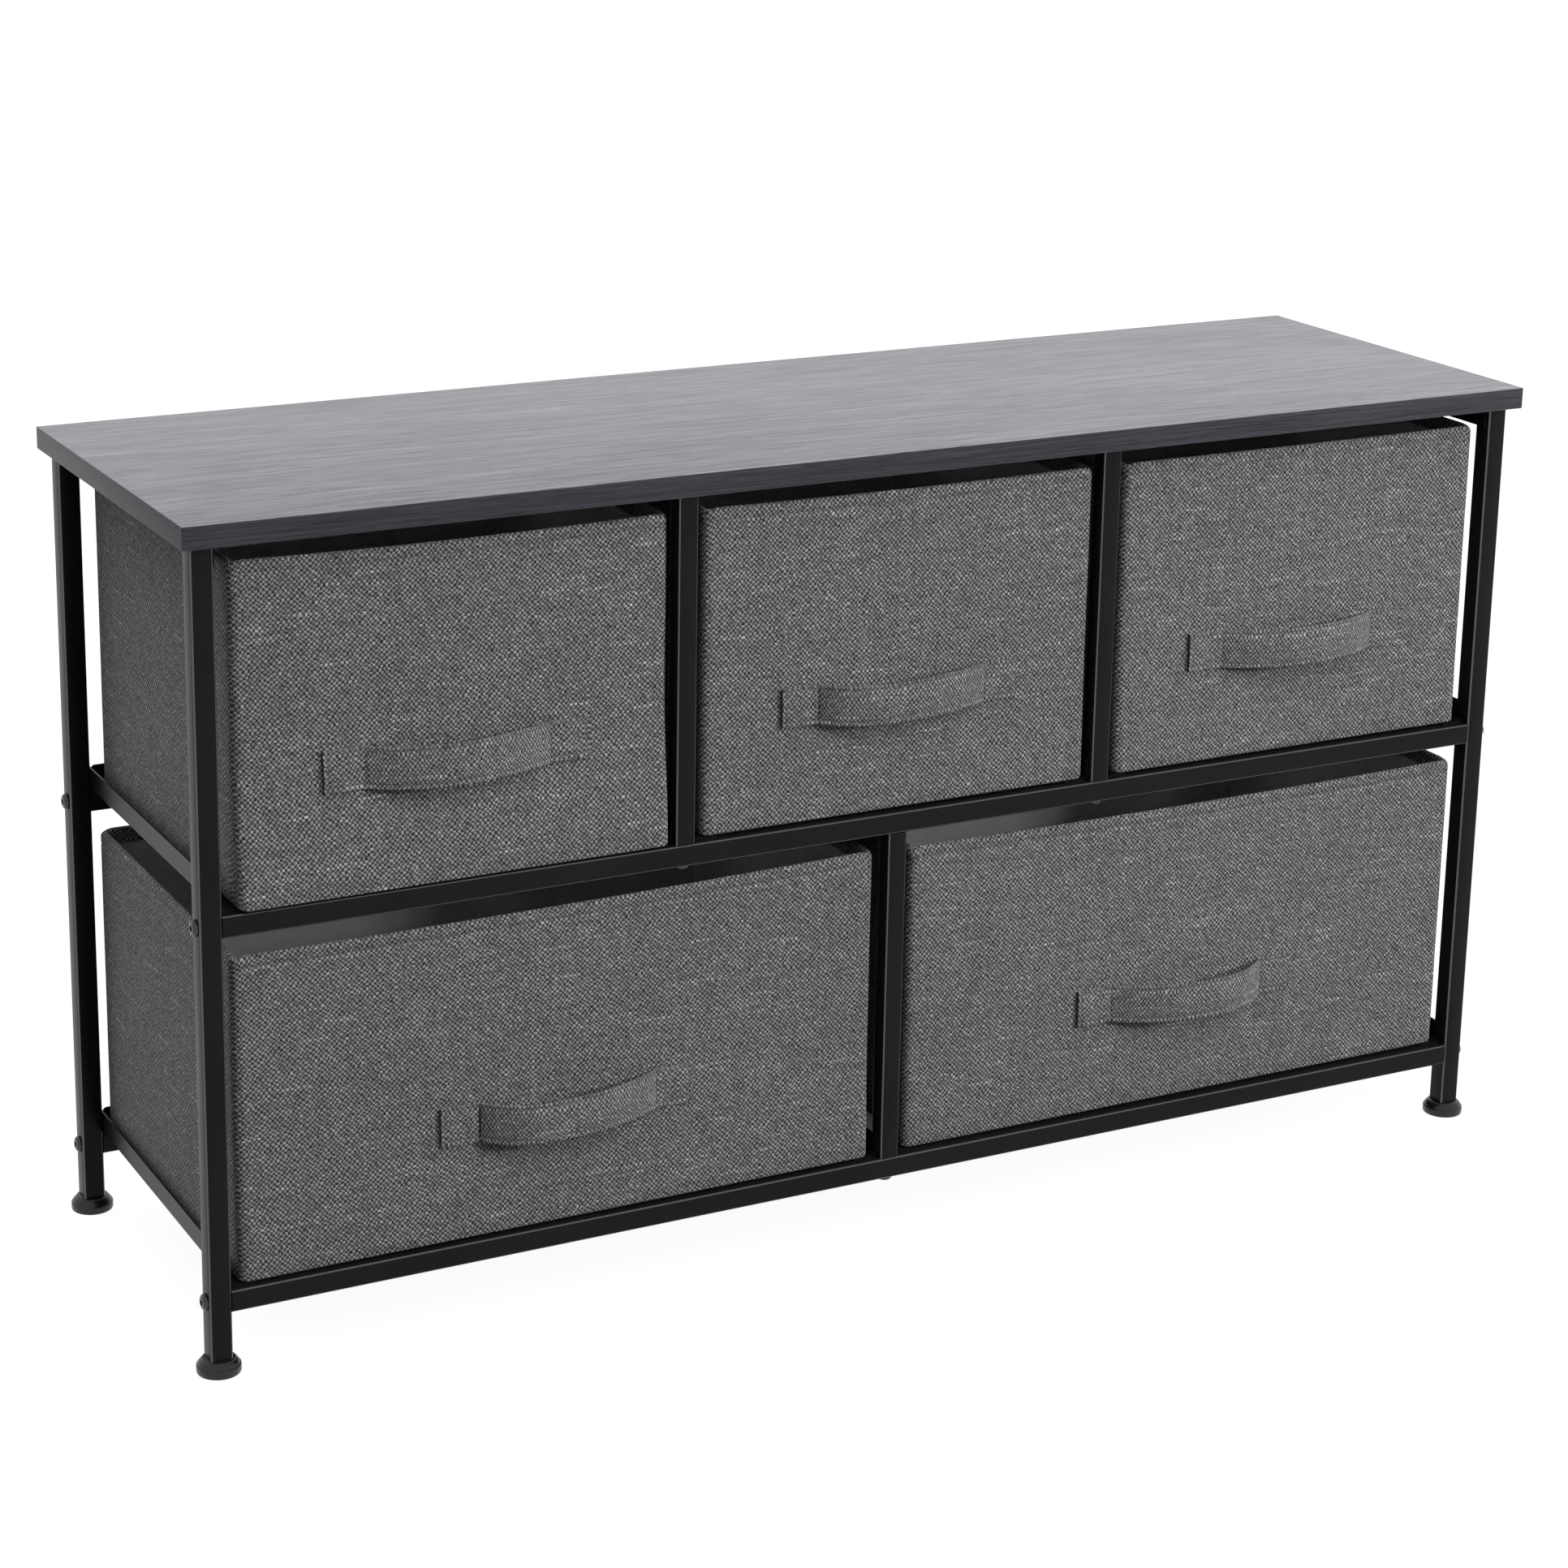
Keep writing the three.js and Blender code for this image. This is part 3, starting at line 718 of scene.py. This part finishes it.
def hemmed_box(name, low, high):
    """A rounded box with a hollow, and a hem folded in at its rim."""
    centre = (low + high) / 2
    half = (high - low) / 2
    made = block(name, low, high)
    pick(made, "edges", lambda middle, way: abs(way.z) > 0.9)
    bpy.ops.mesh.bevel(offset=bin_corner, segments=5, affect="EDGES")
    pick(made, "edges", lambda middle, way: abs(middle.z - low.z) < level_margin)
    bpy.ops.mesh.bevel(offset=bin_bottom_edge, segments=3, affect="EDGES")
    pick(made, "faces", lambda middle, normal: normal.z > 0.9)
    bpy.ops.mesh.inset(thickness=bin_wall + bin_hem)
    bpy.ops.mesh.extrude_region_move(TRANSFORM_OT_translate={"value": (0, 0, -bin_hem_depth)})
    bpy.ops.mesh.extrude_region_move(TRANSFORM_OT_translate={"value": (0, 0, 0)})
    inner = [h - bin_wall - bin_hem for h in half[:2]]
    grow = [(h + bin_hem) / h for h in inner]
    bpy.ops.transform.resize(value=(grow[0], grow[1], 1), center_override=centre)
    drop = half.z * 2 - bin_hem_depth - bin_floor
    bpy.ops.mesh.extrude_region_move(TRANSFORM_OT_translate={"value": (0, 0, -drop)})

    def at_rim(middle, way):
        """True for the edges that the folded rim is rounded along."""
        return abs(middle.z - high.z) < level_margin and runs_round_rim(middle, way, centre, half)

    pick(made, "edges", at_rim)
    bpy.ops.mesh.bevel(offset=bin_rim_edge, segments=4, affect="EDGES")
    return made


def cut_to_settle(low, high):
    """Cuts the bin in edit mode along its seam and a grid, so that its cloth can sag and bow."""
    seam = high.z - seam_below_rim
    cuts = [(2, seam + step * seam_half_width) for step in (-1, 0, 1)]
    for axis in range(3):
        length = high[axis] - low[axis]
        count = max(2, round(length / bin_grid))
        cuts += [(axis, low[axis] + length * cut / count) for cut in range(1, count)]
    corner_cuts = [step * corner_grid for step in (1, 3)]
    cuts += [(0, low.x + cut) for cut in corner_cuts]
    cuts += [(0, high.x - cut) for cut in corner_cuts]
    for axis, level in cuts:
        point = Vector(low)
        point[axis] = level
        plane_normal = [1.0 if i == axis else 0.0 for i in range(3)]
        bpy.ops.mesh.select_all(action="SELECT")
        bpy.ops.mesh.bisect(plane_co=point, plane_no=plane_normal)


def cover(made, low, high):
    """Cloth outside and over the hem, and lining on what lies inside under the hem."""
    centre = (low + high) / 2
    half = (high - low) / 2
    made.data.materials.append(linen_cloth)
    made.data.materials.append(lining_cloth)
    for face in made.data.polygons:
        spot = face.center
        under_hem = low.z + wall_margin < spot.z < high.z - bin_hem_depth - level_margin
        within_x = abs(spot.x - centre.x) < half.x - corner_margin
        within_y = abs(spot.y - centre.y) < half.y - corner_margin
        face.material_index = 1 if under_hem and within_x and within_y else 0
    lay_cloth(made)


def settle(made, low, high, rest):
    """Moves the bin's points to where they come to rest, and draws the cloth in along the seam."""
    centre = (low + high) / 2
    half = (high - low) / 2
    seam = high.z - seam_below_rim
    for vertex in made.data.vertices:
        x, y, z = vertex.co
        outside = min(x - low.x, high.x - x, y - low.y, high.y - y) < wall_margin
        place = settled(vertex.co, low, high, *rest)
        if outside and abs(z - seam) < level_margin:
            inward = Vector((centre.x - x, centre.y - y, 0))
            inward[0 if half.x - abs(inward.x) > half.y - abs(inward.y) else 1] = 0
            place += inward.normalized() * seam_depth
        vertex.co = place


def fabric_bin(name, cad_node, rest):
    """The bin: modelled as a true box, covered with cloth and lining, and settled as it stands."""
    low, high = (Vector(corner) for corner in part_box(cad_node))
    made = hemmed_box(name, low, high)
    cut_to_settle(low, high)
    bpy.ops.object.mode_set(mode="OBJECT")
    cover(made, low, high)
    settle(made, low, high, rest)
    return finished(made, 50)


def thread(name, tone):
    """Twisted sewing thread, a little paler than the cloth."""
    material, tree, shader = new_material(name)
    place = node(tree, "ShaderNodeTexCoord").outputs["Object"]
    twist = stretched_noise(tree, place, (1400, 1400, 1400), 2, 0.5)
    tree.links.new(ramp(tree, twist, (0.3, tone * 0.7), (0.7, tone * 1.2)), shader.inputs["Base Color"])
    shader.inputs["Roughness"].default_value = 0.7
    bumped(tree, shader, twist, 0.3, 0.0001)
    return material


sewing_thread = thread("grey_sewing_thread", 0.2)
stitch_length = 3.0 * MM
stitch_radius = 0.32 * MM
stitch_pitch = 3.8 * MM
stitch_stands_out = 0.15 * MM
sunk_share = 0.15


def stitch_shape(name, length, radius):
    """One stitch: a short round thread along X with sunk ends."""
    bpy.ops.object.select_all(action="DESELECT")
    bpy.ops.mesh.primitive_cylinder_add(
        vertices=8,
        radius=radius,
        depth=length * (1 - 2 * sunk_share),
        rotation=(0, math.pi / 2, 0),
    )
    made = bpy.context.object
    made.name = name
    bpy.ops.object.transform_apply(location=True, rotation=True, scale=True)
    bpy.ops.object.mode_set(mode="EDIT")
    for side in (-1, 1):
        pick(made, "faces", lambda middle, normal: normal.x * side > 0.9)
        into_cloth = (side * length * sunk_share, 0, -radius * 0.5)
        bpy.ops.mesh.extrude_region_move(TRANSFORM_OT_translate={"value": into_cloth})
        bpy.ops.transform.resize(value=(1, 0.5, 0.5))
    finished(made, 80)
    made.data.materials.append(sewing_thread)
    return made


def sew(name, pattern, places):
    """Copies of a stitch set at places, each with the thread's way and the cloth's outward side."""
    copies = []
    for spot, way, outward_side in places:
        copy = pattern.copy()
        copy.data = pattern.data.copy()
        bpy.context.scene.collection.objects.link(copy)
        side = outward_side.cross(way).normalized()
        turned = Matrix((way.normalized(), side, outward_side.normalized())).transposed().to_4x4()
        copy.data.transform(Matrix.Translation(spot) @ turned)
        copies.append(copy)
    bpy.ops.object.select_all(action="DESELECT")
    for copy in copies:
        copy.select_set(True)
    bpy.context.view_layer.objects.active = copies[0]
    bpy.ops.object.join()
    made = bpy.context.object
    made.name = name
    made.data.name = name
    return made


def rim_seam(cad_node, rest):
    """The places of the stitches round a bin, a little below its rim and drawn into the cloth."""
    low, high = (Vector(corner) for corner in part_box(cad_node))
    level = high.z - seam_below_rim
    depth = seam_depth - stitch_stands_out
    corners = [(low.x, low.y), (high.x, low.y), (high.x, high.y), (low.x, high.y)]
    places = []
    for (x0, y0), (x1, y1) in zip(corners, corners[1:] + corners[:1]):
        start, end = Vector((x0, y0, level)), Vector((x1, y1, level))
        way = (end - start).normalized()
        outward_side = Vector((way.y, -way.x, 0))
        run = (end - start).length - 2 * bin_corner
        count = int(run / stitch_pitch)
        for index in range(count):
            spot = start + way * (bin_corner + run * (index + 0.5) / count)
            spot = settled(spot, low, high, *rest) - outward_side * depth
            places.append((spot, way, outward_side))
    return places


rim_stitch = stitch_shape("rim_stitch", stitch_length, stitch_radius)
# For each bin: how far its rim sags at the left, middle and right, how far its front leans out at the
# left and right foot, and how far it is pushed aside in its bay.
bin_rests = {
    "upper_left": ((0.0, 2.2 * MM, 0.0), (8.5 * MM, 6.5 * MM), 3.6 * MM),
    "upper_middle": ((0.0, 1.4 * MM, 0.3 * MM), (1.0 * MM, 1.0 * MM), 2.0 * MM),
    "upper_right": ((0.6 * MM, 0.8 * MM, 0.0), (1.5 * MM, 0.5 * MM), 0.0),
    "lower_left": ((1.8 * MM, 2.4 * MM, -1.2 * MM), (2.5 * MM, 2.0 * MM), 0.0),
    "lower_right": ((0.4 * MM, 2.0 * MM, -0.8 * MM), (0.5 * MM, 0.0), 0.0),
}
for key, rest in bin_rests.items():
    piece = fabric_bin(f"cloth_{key}", f"drawer_{key}", rest)
    seam = sew(f"rim_stitching_{key}", rim_stitch, rim_seam(f"drawer_{key}", rest))
    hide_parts(f"drawer_{key}")
    for made in (piece, seam):
        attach(made, f"bin_{key}")
    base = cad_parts[f"base_{key}"]
    base.data.materials.clear()
    base.data.materials.append(lining_cloth)
bpy.data.objects.remove(rim_stitch)


# Strap handles: a band of the same cloth folded to a strap, sewn flat to the bin in a box of stitches at
# both ends. The loop between them stands out in its own way on each bin.
strap_patch = 27 * MM
strap_thick = 2.2 * MM
strap_lift = 0.5 * MM
strap_fold = 0.5 * MM
strap_cup = 0.7 * MM
strap_wave = 0.6 * MM
strap_free_reach = 8 * MM
strap_seam_inset = 2.6 * MM
strap_dent_depth = 0.7 * MM
strap_stitch_length = 2.5 * MM
strap_stitch_radius = 0.3 * MM
strap_pitch = 3.1 * MM
strap_cloth_start = 5.0
loop_cloth_share = 0.9
# For each strap: how far its loop stands out in millimetres, where along it from -1 to 1, and how full
# the loop is on the left and right of that place.
strap_shapes = {
    "upper_left": (18.4, -0.05, 1.9, 2.0),
    "upper_middle": (17.8, -0.12, 3.2, 2.2),
    "upper_right": (17.2, 0.05, 2.0, 2.3),
    "lower_left": (20.6, -0.1, 3.2, 2.3),
    "lower_right": (21.2, 0.1, 1.9, 2.9),
}
# Painted shade: a near-black copy of the cloth on the strap's end faces stands in for the shadow along
# its ends.
strap_end_shade = linen(
    "strap_end_painted_shade",
    0.8 * MM,
    0.8 * MM,
    ((0.01, 0.01, 0.011), (0.04, 0.041, 0.043)),
    ((0.02, 0.0205, 0.022), (0.06, 0.061, 0.064)),
)


def strap_reach(along, loop_half, shape):
    """How far the strap's back stands out from the bin at a distance along it."""
    reach, peak, left_fullness, right_fullness = shape
    share = along / loop_half
    if abs(share) >= 1:
        return 0.0
    if share < peak:
        return reach * MM * (1 - ((peak - share) / (1 + peak)) ** left_fullness)
    return reach * MM * (1 - ((share - peak) / (1 - peak)) ** right_fullness)


def strap_curl(along, across, out, loop_half):
    """How far a spot of the free loop cups back at the band's edges, and how far it waves up."""
    share = min(1.0, out / strap_free_reach)
    back = strap_cup * across * across * share
    up = strap_wave * share * math.sin(3 * along / loop_half)
    return back, up


def strap_dent(along, above, half_length, half_width):
    """How far the stitches pull the band in at a spot on it: along its edges and round its sewn ends."""
    columns = (half_length - strap_seam_inset, half_length - strap_patch - MM)
    nearest = abs(half_width - strap_seam_inset - abs(above))
    nearest = min([nearest] + [abs(column - abs(along)) for column in columns])
    return strap_dent_depth * math.exp(-((nearest / MM) ** 2))


def on_cloth(key, spots):
    """How far the settled front of a bin has moved at each of the spots where a strap lies on it."""
    low, high = (Vector(corner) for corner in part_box(f"drawer_{key}"))
    starts = [Vector((spot.x, low.y, spot.z)) for spot in spots]
    moves = [settled(start, low, high, *bin_rests[key]) - start for start in starts]
    return [Vector((move.x, move.y, 0)) for move in moves]


def strap_handle(key, shape):
    """The band: a grid laid along the handle, bowed out between its sewn ends and given thickness."""
    name = f"strap_{key}"
    low, high = (Vector(corner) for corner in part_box(f"handle_{key}"))
    centre = (low + high) / 2
    bpy.ops.object.select_all(action="DESELECT")
    bpy.ops.mesh.primitive_grid_add(
        x_subdivisions=180,
        y_subdivisions=28,
        size=1,
        location=(centre.x, high.y, centre.z),
        rotation=(math.pi / 2, 0, 0),
    )
    made = bpy.context.object
    made.name = name
    made.data.name = name
    made.scale = (high.x - low.x, high.z - low.z, 1)
    bpy.ops.object.transform_apply(location=True, rotation=True, scale=True)
    half_length = (high.x - low.x) / 2
    half_width = (high.z - low.z) / 2
    loop_half = half_length - strap_patch
    for vertex in made.data.vertices:
        along = vertex.co.x - centre.x
        above = vertex.co.z - centre.z
        out = strap_reach(along, loop_half, shape)
        back, up = strap_curl(along, above / half_width, out, loop_half)
        vertex.co.y = high.y - strap_lift - out + back
        vertex.co.y += strap_dent(along, above, half_length, half_width)
        vertex.co.z += up
    solid = made.modifiers.new("thickness", "SOLIDIFY")
    solid.thickness = strap_thick
    solid.offset = 1
    bpy.ops.object.modifier_apply(modifier="thickness")
    bevel = made.modifiers.new("folded_edges", "BEVEL")
    bevel.width = strap_fold
    bevel.segments = 2
    bevel.limit_method = "ANGLE"
    bevel.angle_limit = math.radians(50)
    bpy.ops.object.modifier_apply(modifier="folded_edges")
    uv = made.data.uv_layers.new(name="cloth")
    top_reach = shape[0] * MM
    for loop in made.data.loops:
        spot = made.data.vertices[loop.vertex_index].co
        along = spot.x - centre.x
        out = strap_reach(along, loop_half, shape)
        run_out = out if along < shape[1] * loop_half else 2 * top_reach - out
        u = spot.x + loop_cloth_share * run_out + strap_cloth_start
        uv.data[loop.index].uv = (u, spot.z + high.y - out - spot.y)
    made.data.materials.append(linen_cloth)
    made.data.materials.append(strap_end_shade)
    # the end faces of the sewn ends take the cloth of the painted shade
    for face in made.data.polygons:
        at_end = abs(face.center.x - centre.x) > loop_half
        face.material_index = 1 if at_end and abs(face.normal.x) > 0.8 else 0
    moves = on_cloth(key, [vertex.co for vertex in made.data.vertices])
    for vertex, move in zip(made.data.vertices, moves):
        vertex.co += move
    return finished(made, 50)


def strap_seams(key, shape):
    """Two long seams inside the strap's edges, and two short ones across each sewn end."""
    low, high = (Vector(corner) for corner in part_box(f"handle_{key}"))
    centre = (low + high) / 2
    half_length = (high.x - low.x) / 2
    half_width = (high.z - low.z) / 2
    loop_half = half_length - strap_patch
    run = half_length - strap_seam_inset
    rise = half_width - strap_seam_inset
    outer = high.y - strap_lift - strap_thick + strap_dent_depth - stitch_stands_out
    places = []
    count = int(2 * run / strap_pitch)
    for index in range(count):
        along = (2 * (index + 0.5) / count - 1) * run
        before, after = (strap_reach(along + step * MM, loop_half, shape) for step in (-1, 1))
        way = Vector((2 * MM, before - after, 0)).normalized()
        outward_side = Vector((way.y, -way.x, 0))
        out = strap_reach(along, loop_half, shape)
        back, up = strap_curl(along, rise / half_width, out, loop_half)
        for side in (-1, 1):
            spot = Vector((centre.x + along, outer - out + back, centre.z + side * rise + up))
            places.append((spot, way, outward_side))
    upward, front = Vector((0, 0, 1)), Vector((0, -1, 0))
    count = int(2 * rise / strap_pitch)
    for x in (-run, -loop_half - MM, loop_half + MM, run):
        for index in range(count):
            z = centre.z + (2 * (index + 0.5) / count - 1) * rise
            places.append((Vector((centre.x + x, outer, z)), upward, front))
    moves = on_cloth(key, [spot for spot, way, side in places])
    return [(spot + move, way, side) for (spot, way, side), move in zip(places, moves)]


strap_stitch = stitch_shape("strap_stitch", strap_stitch_length, strap_stitch_radius)
for key, shape in strap_shapes.items():
    handle = strap_handle(key, shape)
    sewing = sew(f"strap_stitching_{key}", strap_stitch, strap_seams(key, shape))
    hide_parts(f"handle_{key}")
    for made in (handle, sewing):
        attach(made, f"bin_{key}")
bpy.data.objects.remove(strap_stitch)
